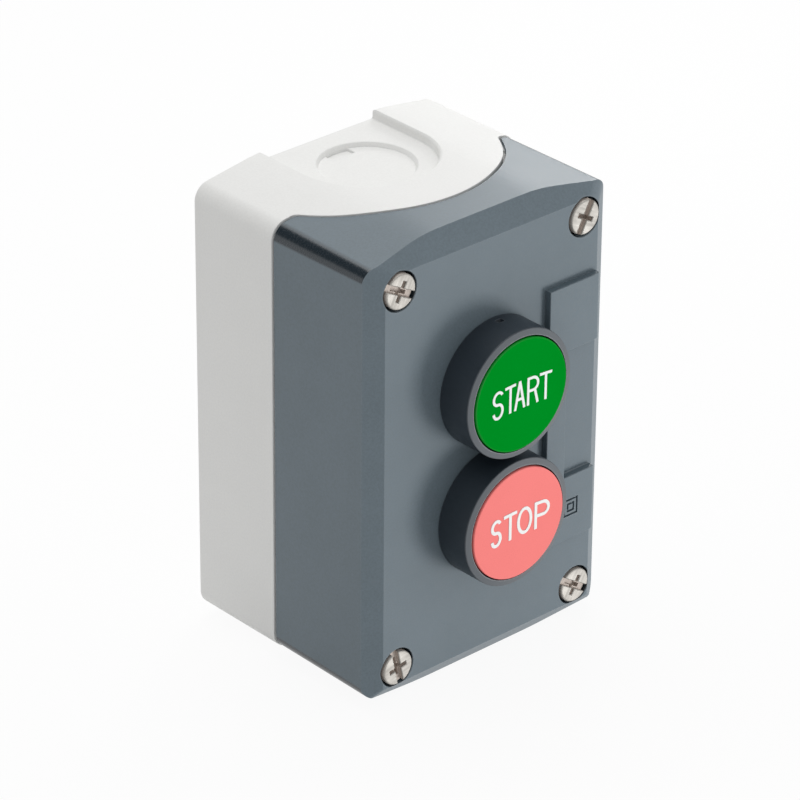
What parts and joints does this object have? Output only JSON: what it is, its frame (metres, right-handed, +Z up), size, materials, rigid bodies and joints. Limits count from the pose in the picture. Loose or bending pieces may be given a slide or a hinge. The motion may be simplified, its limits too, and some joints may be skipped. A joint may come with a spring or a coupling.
{
  "type": "pushbutton box",
  "caption": "Wall box with a green START and a red STOP pushbutton under a screwed cover, knock-out cable entries on both ends, and a contact block behind each button.",
  "frame": {"origin": "centre of the back face, which lies against the wall", "axes": "+Z up along the height, +X to the right seen from the front, +Y back into the wall; the buttons face -Y"},
  "size_m": [0.068, 0.0643, 0.106],
  "materials": {
    "light_casing": "fine moulded",
    "dark_cover": "fine moulded",
    "bezel_plastic": "satin",
    "green_cap": "satin",
    "red_cap": "satin",
    "white_print": "printed ink",
    "black_plastic": "moulded",
    "block_plastic": "moulded",
    "green_plunger": "moulded",
    "red_plunger": "moulded",
    "seal_rubber": "matt",
    "plated_steel": "nickel plated",
    "spring_steel": "drawn wire",
    "contact_brass": "stamped"
  },
  "bodies": {
    "casing": {"rear_casing": "light_casing", "terminal_screws": "plated_steel", "terminal_clamps": "plated_steel", "start_block_base": "block_plastic", "start_block_housing": "block_plastic", "start_fixed_contacts": "contact_brass", "start_plunger_spring": "spring_steel", "stop_block_base": "block_plastic", "stop_block_housing": "block_plastic", "stop_fixed_contacts": "contact_brass", "stop_plunger_spring": "spring_steel"},
    "cover": {"front_cover": "dark_cover", "cover_seal": "seal_rubber", "cover_screws": "plated_steel", "screw_retainers": "black_plastic", "start_bezel": "bezel_plastic", "start_panel_seal": "seal_rubber", "start_nut": "black_plastic", "start_stem_seal": "seal_rubber", "start_return_spring": "spring_steel", "stop_bezel": "bezel_plastic", "stop_panel_seal": "seal_rubber", "stop_nut": "black_plastic", "stop_stem_seal": "seal_rubber", "stop_return_spring": "spring_steel"},
    "start_button": {"start_cap": "green_cap", "start_legend": "white_print", "start_stem": "black_plastic", "start_stem_ring": "plated_steel"},
    "start_actuator": {"start_plunger": "green_plunger", "start_contact_spring": "spring_steel"},
    "start_moving_contact": {"start_bridge": "contact_brass"},
    "stop_button": {"stop_cap": "red_cap", "stop_legend": "white_print", "stop_stem": "black_plastic", "stop_stem_ring": "plated_steel"},
    "stop_actuator": {"stop_plunger": "red_plunger", "stop_contact_spring": "spring_steel"},
    "stop_moving_contact": {"stop_bridge": "contact_brass"}
  },
  "joints": [
    {"name": "cover_lift", "type": "slide", "parent": "casing", "child": "cover", "axis": [0, -1, 0], "range_m": [0, 0.06]},
    {"name": "start_press", "type": "slide", "parent": "cover", "child": "start_button", "axis": [0, 1, 0], "range_m": [0, 0.0043], "stiffness_N_per_m": 350, "springref_m": -0.006, "deforming": ["start_return_spring"]},
    {"name": "start_plunger_slide", "type": "slide", "parent": "casing", "child": "start_actuator", "axis": [0, 1, 0], "range_m": [0, 0.0043], "deforming": ["start_plunger_spring"]},
    {"name": "start_contact_slide", "type": "slide", "parent": "start_actuator", "child": "start_moving_contact", "axis": [0, -1, 0], "range_m": [0, 0.0023], "deforming": ["start_contact_spring"]},
    {"name": "stop_press", "type": "slide", "parent": "cover", "child": "stop_button", "axis": [0, 1, 0], "range_m": [0, 0.0043], "stiffness_N_per_m": 350, "springref_m": -0.006, "deforming": ["stop_return_spring"]},
    {"name": "stop_plunger_slide", "type": "slide", "parent": "casing", "child": "stop_actuator", "axis": [0, 1, 0], "range_m": [0, 0.0043], "deforming": ["stop_plunger_spring"]},
    {"name": "stop_contact_slide", "type": "slide", "parent": "stop_actuator", "child": "stop_moving_contact", "axis": [0, -1, 0], "range_m": [0, 0.0023], "deforming": ["stop_contact_spring"]}
  ],
  "couplings": [
    {"joint": "start_plunger_slide", "follows": "start_press", "ratio": 1},
    {"joint": "start_contact_slide", "follows": "start_press", "ratio": 0.5348},
    {"joint": "stop_plunger_slide", "follows": "stop_press", "ratio": 1},
    {"joint": "stop_contact_slide", "follows": "stop_press", "ratio": 0.5348}
  ]
}
